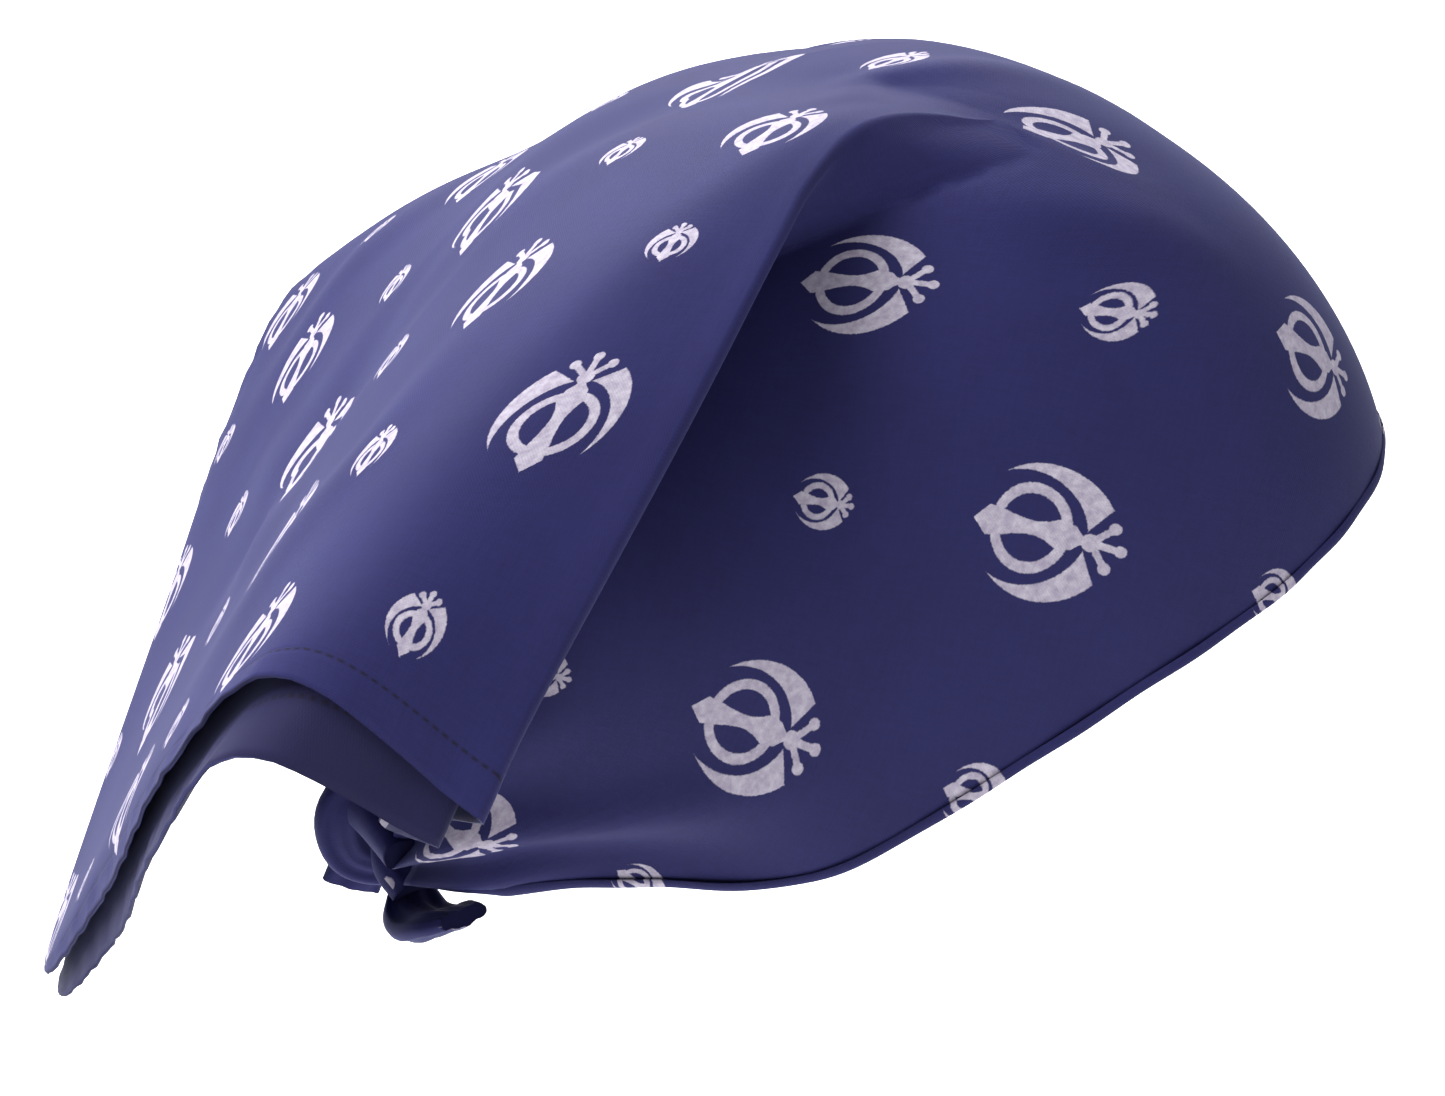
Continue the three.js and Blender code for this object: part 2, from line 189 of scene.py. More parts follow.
# One large emblem: places along its axis and away from it
emblemSet = {
    "blade": {"from": -6.6, "to": 13.2, "wide": 5},
    "ring": {"squeeze": 0.9, "centre": (0, 3.0), "radius": 6.15, "half": 0.85},
    "outerArc": {"centre": (-0.6, 0.6), "radius": 12.4},
    "innerArc": {"centre": (-1.2, 4.2), "radius": 11.0},
    "arcCut": {"from": -5.3, "along": 0.867, "lateral": 0.498},
    "grip": {"from": -12.2, "to": -7, "half": 0.65},
    "guard": {"half": 0.6, "along": 0.766, "lateral": 0.643, "past": 5.59, "reach": 3.7, "to": -7},
    "dots": [((0, -7.3), 1.6), ((0, -12.2), 1.05), ((3.7, -10.4), 1.05)],
}
# The blade's half width from hilt to point: the place along it, and a share of its widest measure
bladeStops = [(0.0, 0.08), (0.06, 0.22), (0.11, 0.42), (0.232, 0.54), (0.333, 0.34), (0.43, 0.24), (0.52, 0.25),
              (0.64, 0.33), (0.732, 0.43), (0.869, 0.52), (1.0, 0.0)]


# How far a place lies inside the emblem; both halves are alike, so lateral has no sign
def emblem(shop, lateral, along, bold):
    blade, ring, outer, inner, arcCut, grip, guard, dots = emblemSet.values()
    length = blade["to"] - blade["from"]
    widths = shop.node("ShaderNodeValToRGB", {"stops": bladeStops}, {0: (along - blade["from"]) / length})
    sword = shop.parts(widths)[0] * blade["wide"] - lateral
    sword = sword.low(along - blade["from"]).low(blade["to"] - along)
    fromRing = shop.away(lateral * ring["squeeze"], along, ring["centre"]) - ring["radius"]
    crescent = outer["radius"] - shop.away(lateral, along, outer["centre"])
    crescent = crescent.low(shop.away(lateral, along, inner["centre"]) - inner["radius"])
    crescent = crescent.low((along - arcCut["from"]) * arcCut["along"] + lateral * arcCut["lateral"])
    handle = (grip["half"] - lateral).low(along - grip["from"]).low(grip["to"] - along)
    fromGuard = (lateral * guard["lateral"] + along * guard["along"] + guard["past"]).size()
    cross = (guard["half"] - fromGuard).low(guard["reach"] - lateral).low(guard["to"] - along)
    shape = sword.high(ring["half"] - fromRing.size()).high(crescent).high(handle).high(cross)
    for centre, radius in dots:
        shape = shape.high(radius - shop.away(lateral, along, centre))
    return shape + bold


def clothPlace(shop):
    flat = shop.node("ShaderNodeUVMap", {"uv_map": "cloth"}, {})
    across, along, _ = shop.parts(flat)
    return across * printSet["side"], along * printSet["side"]


def cell(value):
    turns = (value - printSet["first"]) / printSet["pitch"] + 0.5
    whole = turns.whole()
    return whole, (turns - whole - 0.5) * printSet["pitch"]


def printMask(shop, x, y, flat):
    column, across = cell(x)
    row, along = cell(y)
    half = (column + row) * 0.5
    odd = (half - half.whole()) * 2
    reach = 1 + odd * (1 / printSet["small"] - 1)
    shape = emblem(shop, (across * reach).size(), -(along * reach), odd * printSet["bold"])
    ragged = (shop.noise(flat, printSet["raggedScale"]) - 0.5) * printSet["ragged"]
    return ((shape / reach + ragged) / printSet["edge"] + 0.5).clamped()


clothColour = {
    "navy": (0.0095, 0.0085, 0.05, 1),
    "navyWorn": (0.017, 0.018, 0.098, 1),
    "ink": (0.5, 0.47, 0.53, 1),
    "inkWorn": (0.25, 0.22, 0.29, 1),
    "wrong": (0.01, 0.009, 0.036, 1),
    "thread": (0.006, 0.005, 0.02, 1),
}
clothFinish = {"Roughness": 0.8, "Specular IOR Level": 0.18, "Sheen Weight": 0.055, "Sheen Roughness": 0.45,
               "Sheen Tint": (0.45, 0.5, 1.0, 1)}
# Weave and slubs: the thread's pitch, the slubs' stretch along and across a thread, and the noise scales
weaveSet = {"pitch": 0.62, "along": 0.35, "across": 3.2, "slub": 0.5, "cloud": 0.045, "mottle": 0.55}
# The hem's line of stitches: its distance from the edge, half width, soft edge, pitch and groove
stitchSet = {"inset": 5.6, "half": 0.3, "soft": 0.2, "pitch": 2.3, "groove": 0.9}
# What weave, slubs, stitches, groove and print add to the height, and how much of it the bump shows
heightSet = {"weave": 0.35, "slub": 0.6, "stitch": 1.2, "groove": 2.0, "ink": 0.4,
             "Strength": 0.35, "Distance": 0.00012}


def cotton(name, printed):
    shop = Shop(name)
    x, y = clothPlace(shop)
    flat = shop.place(x, y)
    long, short = weaveSet["along"], weaveSet["across"]
    slubs = (shop.noise(shop.place(x * long, y * short), weaveSet["slub"], 2)
             + shop.noise(shop.place(x * short, y * long), weaveSet["slub"], 2))
    threads = 2 * math.pi / weaveSet["pitch"]
    weave = (x * threads).wave() * (y * threads).wave()
    tone = (shop.noise(flat, weaveSet["cloud"], 4) * 0.5 + slubs * 0.35 + weave * 0.08 - 0.25).clamped()
    base, worn = ("navy", "navyWorn") if printed else ("wrong", "navy")
    colour = shop.mix(tone, clothColour[base], clothColour[worn])
    height = weave * heightSet["weave"] + slubs * heightSet["slub"]
    fromLine = (x.low(y) - stitchSet["inset"]).size()
    dash = (x.high(y) * (2 * math.pi / stitchSet["pitch"])).wave() * 0.5 + 0.62
    stitch = ((stitchSet["half"] - fromLine) / stitchSet["soft"]).low(dash).clamped()
    colour = shop.mix(stitch, colour, clothColour["thread"])
    groove = (stitchSet["groove"] - fromLine).clamped()
    height = height + stitch * heightSet["stitch"] - groove * heightSet["groove"]
    if printed:
        mask = printMask(shop, x, y, flat)
        mottle = (shop.noise(flat, weaveSet["mottle"], 5, 0.65) * 2.2 - 0.75).clamped()
        ink = shop.mix(mottle, clothColour["inkWorn"], clothColour["ink"])
        ink = shop.mix(weave * 0.12 + 0.12, ink, clothColour["inkWorn"])
        colour = shop.mix(mask, colour, ink)
        height = height + mask * heightSet["ink"]
    bump = shop.node("ShaderNodeBump", {}, {"Strength": heightSet["Strength"], "Distance": heightSet["Distance"],
                                            "Height": height})
    shop.dress({"Base Color": colour, "Normal": bump, **clothFinish})
    return shop.material


printedCotton = cotton("printedCotton", True)
plainCotton = cotton("cottonWrongSide", False)
print("cloth materials made")

# The same ribs and levels as the solids, as shares of the head form's half width, half length
# and roof, from the head's centre: out from the middle plane, back, up. Mean is the form's mean radius
headForm = {"halfWidth": 77, "halfLength": 97, "roof": 89.5, "jaw": 110, "power": 2.4, "profile": 1.78,
            "middle": (0, -3, -4), "mean": 92}
# A rib's points run from the band edge to the top line; hug is how closely it lies on the head, and rise how
# far its top stands off
capRibs = [
    {"hug": 1.0, "rise": 5.5,
     "points": [(0, -1.07, 0.19), (0, -0.93, 0.56), (0, -0.6, 0.83), (0, -0.14, 0.98), (0, 0.34, 0.96)]},
    {"hug": 1.0, "rise": 1.5,
     "points": [(0.42, -0.99, 0.15), (0.5, -0.87, 0.46),
                (0.49, -0.62, 0.72), (0.43, -0.29, 0.9), (0.36, 0.08, 0.97)]},
    {"hug": 1.0, "rise": 0.0,
     "points": [(0.72, -0.81, 0.06), (0.76, -0.73, 0.33),
                (0.73, -0.59, 0.57), (0.66, -0.43, 0.74), (0.56, -0.16, 0.86)]},
    {"hug": 1.0, "rise": 0.0,
     "points": [(0.88, -0.6, -0.06), (0.93, -0.46, 0.2),
                (0.93, -0.29, 0.47), (0.86, -0.12, 0.69), (0.72, 0.05, 0.83)]},
    {"hug": 1.0, "rise": 0.0,
     "points": [(0.95, -0.31, -0.22), (1.0, -0.14, 0.1),
                (0.99, 0.02, 0.38), (0.9, 0.16, 0.6), (0.75, 0.3, 0.76)]},
    {"hug": 1.0, "rise": 0.0,
     "points": [(0.97, 0.0, -0.44), (1.0, 0.15, -0.08),
                (1.0, 0.3, 0.2), (0.88, 0.46, 0.45), (0.7, 0.58, 0.62)]},
    {"hug": 0.9, "rise": 0.0,
     "points": [(0.86, 0.31, -0.67), (0.94, 0.42, -0.28),
                (0.9, 0.55, 0.02), (0.78, 0.69, 0.27), (0.6, 0.82, 0.4)]},
    {"hug": 0.4, "rise": 0.0,
     "points": [(0.68, 0.63, -0.75), (0.76, 0.69, -0.48),
                (0.72, 0.79, -0.24), (0.6, 0.89, -0.07), (0.44, 0.97, 0.05)]},
    {"hug": 0.0, "rise": 0.0,
     "points": [(0.52, 0.88, -0.79), (0.52, 0.94, -0.67),
                (0.47, 1.0, -0.53), (0.39, 1.04, -0.42), (0.31, 1.06, -0.35)]},
    {"hug": 0.0, "rise": 0.0,
     "points": [(0.27, 1.06, -0.86), (0.26, 1.08, -0.82),
                (0.25, 1.09, -0.78), (0.23, 1.09, -0.73), (0.22, 1.08, -0.69)]},
]
# Cloth coordinates of each rib: along the fold at its band end and its top, and away from the fold at its top
ribCloth = [(0, 0, 151), (33, 47, 121), (62, 80, 98), (90, 98, 103), (121, 121, 108),
            (152, 151, 119), (182, 182, 122), (212, 212, 118), (242, 242, 100), (265, 265, 90)]
# A level's points run under the flap, round its crease and over to the middle: under, crease, face, ridge,
# back, middle. Rib is where its root lies, cloth its distance from the hem, farDrop how much lower it hangs
# on the far side
flapLevels = [
    {"rib": 3.35, "cloth": 145, "farDrop": 3,
     "points": [(0.72, 0.18, 0.83), (0.71, 0.2, 0.9), (0.68, 0.32, 0.9),
                (0.5, 0.5, 0.86), (0.26, 0.69, 0.77), (0, 0.83, 0.65)]},
    {"rib": 5.07, "cloth": 102, "farDrop": 6.5,
     "points": [(0.86, 0.5, 0.62), (1.05, 0.36, 0.74), (1.0, 0.64, 0.73),
                (0.73, 0.88, 0.6), (0.36, 1.07, 0.38), (0, 1.2, 0.12)]},
    {"rib": 6.77, "cloth": 59, "farDrop": 0,
     "points": [(0.88, 0.81, 0.2), (1.34, 0.55, 0.49), (1.28, 0.94, 0.48),
                (0.93, 1.19, 0.25), (0.48, 1.38, -0.1), (0, 1.55, -0.43)]},
    {"rib": 8.55, "cloth": 16, "farDrop": -6,
     "points": [(0.86, 1.01, -0.31), (1.62, 0.84, 0.05), (1.53, 1.15, 0.23),
                (1.15, 1.4, -0.06), (0.65, 1.6, -0.48), (0, 1.82, -1.01)]},
    {"rib": 8.9, "cloth": 0, "farDrop": -7,
     "points": [(0.88, 1.06, -0.44), (1.7, 0.94, -0.14), (1.6, 1.25, 0.12),
                (1.21, 1.47, -0.19), (0.69, 1.65, -0.66), (0, 1.86, -1.12)]},
]
# Above these levels the flap leaves the crown along the cap's top line: the rib each column starts from
crownStart = {"rib": 1.62, "cloth": 188, "farDrop": 0, "ribs": (1.56, 1.48, 1.1, 0.72, 0.36, 0)}
# How much of a level's drop each of those columns takes
dropShare = np.array([0.5, 1, 1, 0.7, 0.3, 0])
# How far the inner layer shows below the outer one at the hem, root to middle
innerReach = (0, 3.4, 6.8, 13.1, 13.1, 7.8, 3.9)
gridSet = {"across": 44, "levels": 72, "under": 14, "crease": 6, "outer": 60}
lastRib = len(capRibs) - 1
creaseRadius = 1.9
capGap = 1.25
flapGap = 4.0
clothThick = 0.5
mirrorOut = np.array([-1.0, 1.0, 1.0])


def placed(row):
    return np.asarray(row, float) * (headForm["halfWidth"], headForm["halfLength"], headForm["roof"])


def limited(value):
    return min(max(value, 0), 1)


def splineAt(points, share):
    points = np.asarray(points, float)
    last = len(points) - 1
    at = limited(share) * last
    i = min(int(at), last - 1)
    f = at - i
    b, c = points[i], points[i + 1]
    a = points[i - 1] if i > 0 else 2 * b - c
    d = points[i + 2] if i + 2 <= last else 2 * c - b
    m0, m1, rise = (c - a) / 2, (d - b) / 2, c - b
    return b + f * m0 + f * f * (3 * rise - 2 * m0 - m1) + f ** 3 * (m0 + m1 - 2 * rise)


def unit(v):
    return v / (np.linalg.norm(v) or 1.0)


def onHead(p, hug, inset):
    middle = np.array(headForm["middle"], float)
    q = p - middle
    high = headForm["roof"] if q[2] > 0 else headForm["jaw"]
    power, profile = headForm["power"], headForm["profile"]
    roundness = abs(q[1] / headForm["halfLength"]) ** profile + abs(q[2] / high) ** profile
    size = abs(q[0] / headForm["halfWidth"]) ** power + roundness ** (power / profile)
    scale = size ** (-1 / power) - inset / headForm["mean"]
    return middle + q * (1 + hug * (scale - 1))


def ribsAt(across):
    ribs = [splineAt(placed(rib["points"]), across) for rib in capRibs]
    return [ribs[1] * mirrorOut] + ribs


def ribValue(key, rib):
    i = min(int(rib), lastRib - 1)
    return capRibs[i][key] + (capRibs[i + 1][key] - capRibs[i][key]) * (rib - i)


# A place on the cap: rib runs from the forehead to the knot, across from the band edge to the top line
def capPoint(rib, across, inset=0.0, ribs=None):
    ribs = ribs or ribsAt(across)
    p = splineAt(ribs, (1 + rib) / (len(ribs) - 1))
    if rib == 0:
        p[0] = 0
    hug = ribValue("hug", rib)
    p = onHead(p, hug, inset)
    p[2] += ribValue("rise", rib) * max(0.0, 2 * across - 1) ** 1.6
    if hug < 1 and inset:
        p = p - unit(p * np.array([1, 0.6, 0.0])) * inset * (1 - hug)
    return p


def flapRoot(rib, inset):
    return capPoint(rib, 1.0, inset * capGap / flapGap)


def runsOf(points):
    return np.concatenate([[0], np.cumsum(np.linalg.norm(np.diff(points, axis=0), axis=1))])


def resampled(points, cells):
    points = np.asarray(points)
    runs = runsOf(points)
    want = np.linspace(0, runs[-1], cells + 1)
    return np.stack([np.interp(want, runs, points[:, k]) for k in range(3)], axis=1)


def roundedCorner(before, corner, after, radius, steps):
    a, b = before - corner, after - corner
    reach = min(np.linalg.norm(a), np.linalg.norm(b)) * 0.45
    a, b = unit(a), unit(b)
    half = math.acos(min(max(float(a @ b), -0.999), 0.999)) / 2
    r = min(radius, reach * math.tan(half))
    centre = corner + unit(a + b) * (r / math.sin(half))
    start = corner + a * (r / math.tan(half)) - centre
    stop = corner + b * (r / math.tan(half)) - centre
    turn = math.pi - 2 * half
    out = []
    for k in range(steps + 1):
        toStart, toStop = math.sin((1 - k / steps) * turn), math.sin(k / steps * turn)
        out.append(centre + (start * toStart + stop * toStop) / math.sin(turn))
    return out


def levelAt(levels, share):
    rows = [np.concatenate([level["places"].ravel(), [level["rib"], level["cloth"]]]) for level in levels]
    *places, rib, clothAt = splineAt(rows, share)
    return np.reshape(places, (-1, 3)), rib, clothAt


def outerLevels(far):
    made = []
    for level in [crownStart, *flapLevels]:
        if "points" in level:
            places = placed(level["points"])
        else:
            places = np.array([flapRoot(rib, 0) for rib in level["ribs"]])
        if far:
            places[:, 2] -= level["farDrop"] * dropShare
        made.append({**level, "places": places, "root": flapRoot(level["rib"], 0)})
    return made


creaseColumn, middleColumn = 2, 6


# The same levels moved inside the outer ones, and reaching lower at the hem
def innerLevels(levels, inset):
    full = [np.vstack([level["root"], level["places"]]) for level in levels]
    made = []
    for n, points in enumerate(full):
        near, far = full[max(n - 1, 0)], full[min(n + 1, len(full) - 1)]
        out = []
        for k, p in enumerate(points):
            left = points[max(k - 1, 0)]
            right = points[k + 1] if k < middleColumn else points[k - 1] * mirrorOut
            down = unit(far[k] - near[k])
            if k == creaseColumn:
                a, b = unit(left - p), unit(right - p)
                half = max(math.acos(min(max(float(a @ b), -1), 1)) / 2, 0.3)
                room = max(np.linalg.norm(right - p) * 0.45, inset + 2)
                p = p + unit(a + b) * min(inset / math.sin(half), room)
            else:
                p = p + unit(np.cross(unit(right - left), down)) * inset
            p = p + down * (innerReach[k] if n == len(full) - 1 else 0)
            out.append(p)
        out[middleColumn][0] = 0
        made.append({**levels[n], "places": np.array(out[1:])})
    return made


def layerLevels(inset, far):
    levels = outerLevels(far)
    return innerLevels(levels, inset) if inset else levels


# A section's fine steps: over the flap and under it, and where its crease's arc looks back and ahead
sectionSet = {"outside": 60, "inside": 16, "back": 11, "ahead": 8, "spare": 0.5}


def beyond(points, corner, arcEnd):
    least = np.linalg.norm(arcEnd - corner) + sectionSet["spare"]
    return [p for p in points if np.linalg.norm(p - corner) > least]


# One level from its root, under the flap, round the crease and over to the middle plane
def flapSection(levels, share, inset):
    points, rib, clothAt = levelAt(levels, share)
    under, crease, *_, back, middle = points
    steps = sectionSet["outside"]
    outside = [splineAt([*points[1:], back * mirrorOut], k / steps * 4 / 5) for k in range(steps + 1)]
    steps = sectionSet["inside"]
    inside = [splineAt([flapRoot(rib, inset), under, crease], k / steps) for k in range(steps + 1)]
    arc = roundedCorner(inside[sectionSet["back"]], crease, outside[sectionSet["ahead"]], creaseRadius,
                        gridSet["crease"])
    path = np.vstack([resampled([*beyond(inside[:-1], crease, arc[0]), arc[0]], gridSet["under"]), arc[1:-1],
                      resampled([arc[-1], *beyond(outside[1:], crease, arc[-1])], gridSet["outer"])])
    path[-1][0] = 0
    return path, rib, clothAt


# Near its top line the cap's cloth is stretched towards the knot: by which share, between which ribs
valleyStretch = {"share": 0.19, "from": 4.6, "to": 9.4}


def ribClothAt(rib, across):
    band, top, away = splineAt(ribCloth, rib / lastRib)
    s = band + (top - band) * across
    part = limited((rib - valleyStretch["from"]) / (valleyStretch["to"] - valleyStretch["from"]))
    return s, away * across * (1 - valleyStretch["share"] * math.sin(math.pi * part) * across ** 3)


def toCloth(s, t):
    side, spread = printSet["side"], math.sqrt(2)
    return (side - t * spread + s * spread) / 2, (side - t * spread - s * spread) / 2


# How the cloth lies, in its own millimetres: the line that runs down the crease, the pull to one side over
# the forehead and the rib it ends at, the share under the flap that is tucked out of sight along its root,
# how much the flap's cloth is drawn to the crease at its upper line, and the share that blends into the crown
clothLie = {"crease": 256.0, "pull": 28, "pullRibs": 2.4, "tucked": 0.78, "drawnNear": 0.21, "drawnFar": 0.32,
            "drawnLine": 150, "crownBlend": 0.16}


def capGrid(ribs, inset, far):
    rows = []
    for j in range(gridSet["across"] + 1):
        share = j / gridSet["across"]
        rowRibs = ribsAt(share)
        row = []
        for rib in ribs:
            s, t = ribClothAt(rib, share)
            pull = clothLie["pull"] * math.sin(math.pi * share) * max(0.0, 1 - rib / clothLie["pullRibs"]) ** 1.5
            place = capPoint(rib, share, inset * capGap / flapGap, rowRibs)
            row.append((place, toCloth(s + (-pull if far else pull), t)))
        rows.append(row)
    return rows


# Cloth coordinates along one level: from its root to the crease, then over to the middle
def levelCloth(path, rib, clothAt, far):
    runs = runsOf(path)
    creaseRun = runs[gridSet["under"] + gridSet["crease"]]
    root = np.array(toCloth(*ribClothAt(rib, 1.0)))
    crease = np.array([clothLie["crease"], clothAt])
    middle = np.array([clothAt, clothAt])
    drawn = 1 - clothLie["drawnFar" if far else "drawnNear"] * clothAt / clothLie["drawnLine"]
    line = []
    for run in runs:
        if run <= creaseRun:
            w = clothLie["tucked"] + (1 - clothLie["tucked"]) * run / (creaseRun or 1)
            line.append(root + (crease - root) * w)
        else:
            w = ((run - creaseRun) / (runs[-1] - creaseRun)) ** drawn
            line.append(crease + (middle - crease) * w)
    return line


# The flap's first row is the cap's top line, and the next ones blend out of it
def flapGrid(sections, top, far):
    fold, outer = gridSet["under"] + gridSet["crease"], gridSet["outer"]
    crown = [top[outer - max(c - fold, 0)] for c in range(fold + outer + 1)]
    start = sections[0][0]
    rows = []
    for k, (path, rib, clothAt) in enumerate(sections):
        ease = max(0.0, 1 - k / gridSet["levels"] / clothLie["crownBlend"]) ** 2
        fade = ease * ease * (3 - 2 * ease)
        row = []
        for c, (p, cloth) in enumerate(zip(path, levelCloth(path, rib, clothAt, far))):
            place = p + (crown[c][0] - start[c]) * fade
            cloth = cloth + (np.array(crown[c][1]) - cloth) * fade
            if k == 0:
                place, cloth = crown[c]
            elif c == 0:
                place = top[outer + k][0]
            row.append((np.array(place, float), tuple(cloth)))
        rows.append(row)
    return rows


# Half of one layer as rows of places and cloth coordinates: the cap's grid and the flap's grid
def halfLayer(inset, far):
    levels = layerLevels(inset, far)
    count, outer = gridSet["levels"], gridSet["outer"]
    sections = [flapSection(levels, k / count, inset) for k in range(count + 1)]
    crownRibs = [sections[0][1] * i / outer for i in range(outer + 1)]
    capRows = capGrid([*crownRibs, *[rib for _, rib, _ in sections[1:]], lastRib], inset, far)
    return capRows, flapGrid(sections, capRows[-1], far)


# Soft folds: where a ridge runs in cloth coordinates, its width and its height off the cloth, in millimetres
clothFolds = [
    {"run": [(287, 134), (297, 160), (301, 182), (305, 202)], "width": 6.5, "height": 1.5},
    {"run": [(304, 150), (309, 172), (312, 192)], "width": 9.0, "height": -0.7},
    {"run": [(408, 156), (424, 136), (444, 112), (460, 92)], "width": 6.0, "height": 3.2},
    {"run": [(424, 158), (438, 138), (456, 114)], "width": 5.5, "height": -1.9},
    {"run": [(340, 96), (375, 104), (410, 108), (440, 100)], "width": 7.0, "height": 1.0},
    {"run": [(226, 164), (236, 180), (247, 196), (258, 210)], "width": 6.0, "height": 1.3},
    {"run": [(268, 172), (275, 190), (279, 208)], "width": 12.0, "height": -1.3},
    {"run": [(60, 120), (90, 96), (118, 60)], "width": 10.0, "height": 1.8},
    {"run": [(150, 40), (178, 60), (196, 96)], "width": 12.0, "height": 1.6},
]


def foldHeight(x, y):
    near, far = (x, y) if x > y else (y, x)
    total = 0.0
    for fold in clothFolds:
        run = fold["run"]
        best, along = 1e9, 0.0
        for k in range(len(run) - 1):
            ax, ay = run[k]
            bx, by = run[k + 1]
            dx, dy = bx - ax, by - ay
            w = limited(((near - ax) * dx + (far - ay) * dy) / (dx * dx + dy * dy))
            away = math.hypot(near - ax - dx * w, far - ay - dy * w)
            if away < best:
                best, along = away, (k + w) / (len(run) - 1)
        taper = math.sin(math.pi * (0.08 + 0.84 * along))
        total += fold["height"] * taper * math.exp(-(best / fold["width"]) ** 2)
    return total


# Gathers at the knot: where along the fold they begin and how soon they are full, the distance from the fold
# at which they have gone and how soon, their height and their pitch
gatherSet = {"from": 205, "full": 45, "gone": 150, "fade": 40, "height": 2.1, "pitch": 3.4, "fan": 0.02}


def gatherHeight(x, y):
    s, t = abs(x - y) / math.sqrt(2), (printSet["side"] - x - y) / math.sqrt(2)
    pull = limited((s - gatherSet["from"]) / gatherSet["full"])
    fade = limited((gatherSet["gone"] - t) / gatherSet["fade"])
    return gatherSet["height"] * pull * pull * fade * math.sin(t / gatherSet["pitch"] + 1.1 + s * gatherSet["fan"])


# Puckers along the stitched hem: how far in they reach, and waves of a turn per millimetre, height and shift
puckerSet = {"reach": 7.5, "soft": 3, "waves": [(0.83, 0.14, 0), (0.37, 0.16, 1)]}


def hemPucker(x, y):
    edge, run = min(x, y), max(x, y)
    inside = limited((puckerSet["reach"] - edge) / puckerSet["soft"])
    waves = sum(height * math.sin(run * turn + shift) for turn, height, shift in puckerSet["waves"])
    return inside * waves


def addFace(mesh, layers, ring):
    face = mesh.faces.new([vert for vert, _ in ring])
    face.smooth = True
    for loop, (_, at) in zip(face.loops, ring):
        loop[layers["cloth"]].uv = (at[0] / printSet["side"], at[1] / printSet["side"])
    return face


def addVert(mesh, layers, place, at):
    vert = mesh.verts.new(inFrame(place))
    vert[layers["x"]], vert[layers["y"]] = at
    return vert, at


# Adds rows as faces: rows are set out on the far side, and the near half is their mirror image
def addGrid(mesh, rows, layers, far, turned):
    corners = [[addVert(mesh, layers, p if far else p * mirrorOut, at[::-1] if far else at) for p, at in row]
               for row in rows]
    for lower, upper in zip(corners, corners[1:]):
        for k in range(len(lower) - 1):
            ring = [lower[k], lower[k + 1], upper[k + 1], upper[k]]
            addFace(mesh, layers, ring[::-1] if far != turned else ring)


def clothMesh():
    mesh = bmesh.new()
    layers = {"cloth": mesh.loops.layers.uv.new("cloth"), "x": mesh.verts.layers.float.new("clothX"),
              "y": mesh.verts.layers.float.new("clothY")}
    return mesh, layers


def asPiece(name, mesh, materials, thickness=0.0):
    data = bpy.data.meshes.new(name)
    mesh.to_mesh(data)
    mesh.free()
    piece = bpy.data.objects.new(name, data)
    bpy.context.scene.collection.objects.link(piece)
    for material in materials:
        data.materials.append(material)
    if thickness:
        wall = piece.modifiers.new("wall", "SOLIDIFY")
        wall.thickness = thickness / 1000
        wall.offset = -1
        wall.material_offset = len(materials) - 1
        wall.material_offset_rim = len(materials) - 1
    return piece


# Metres within which points are joined, and below which slivers are taken out
weldSet = {"layer": 0.00012, "sliver": 0.00001, "roll": 0.00003}


def wholeLayer(name, inset, slots):
    mesh, layers = clothMesh()
    for far in (False, True):
        capRows, flapRows = halfLayer(inset, far)
        addGrid(mesh, capRows, layers, far, True)
        addGrid(mesh, flapRows, layers, far, False)
    bmesh.ops.remove_doubles(mesh, verts=mesh.verts, dist=weldSet["layer"])
    bmesh.ops.dissolve_degenerate(mesh, edges=mesh.edges, dist=weldSet["sliver"])
    mesh.normal_update()
    shifts = []
    for vert in mesh.verts:
        x, y = vert[layers["x"]], vert[layers["y"]]
        shifts.append(vert.normal * ((foldHeight(x, y) + gatherHeight(x, y) + hemPucker(x, y)) / 1000))
    for vert, shift in zip(mesh.verts, shifts):
        vert.co += shift
    return asPiece(name, mesh, slots, clothThick)


outerCloth = wholeLayer("outerCloth", 0.0, [printedCotton, plainCotton])
innerCloth = wholeLayer("innerCloth", flapGap, [plainCotton, printedCotton])
print("cloth layers built")

# The folded band edge: a narrow roll that joins the two layers from one side of the knot to the other
bandRoll = {"round": 1.05, "overlap": 1.6, "turns": 8, "steps": 150, "wall": 0.25,
            "ripple": 0.12, "rippleTurn": 9}


def bandEdgeRoll():
    mesh, layers = clothMesh()
    for far in (False, True):
        rows = []
        for k in range(bandRoll["steps"] + 1):
            rib = lastRib * k / bandRoll["steps"]
            outside, inside = capPoint(rib, 0), capPoint(rib, 0, capGap)
            upward = unit(capPoint(rib, 0.05) - outside)
            outward = unit(outside - inside)
            middle = (outside + inside - outward * clothThick) / 2
            reach = outward * (bandRoll["round"] + bandRoll["ripple"] * math.sin(rib * bandRoll["rippleTurn"]))
            drop = upward * np.linalg.norm(reach)
            overlap = upward * bandRoll["overlap"]
            s, _ = ribClothAt(rib, 0)
            row = [(middle + reach + overlap, toCloth(s, bandRoll["overlap"]))]
            for n in range(bandRoll["turns"] + 1):
                turn = math.pi * n / bandRoll["turns"]
                row.append((middle + reach * math.cos(turn) - drop * math.sin(turn), toCloth(s, -turn)))
            row.append((middle - reach + overlap, toCloth(s, -math.pi - bandRoll["overlap"])))
            rows.append(row)
        rows[0] = [(p * np.array([0, 1, 1]), at) for p, at in rows[0]]
        addGrid(mesh, rows, layers, far, False)
    bmesh.ops.remove_doubles(mesh, verts=mesh.verts, dist=weldSet["roll"])
    return asPiece("bandRoll", mesh, [printedCotton], bandRoll["wall"])


bandFoldPiece = bandEdgeRoll()
print("band edge rolled")

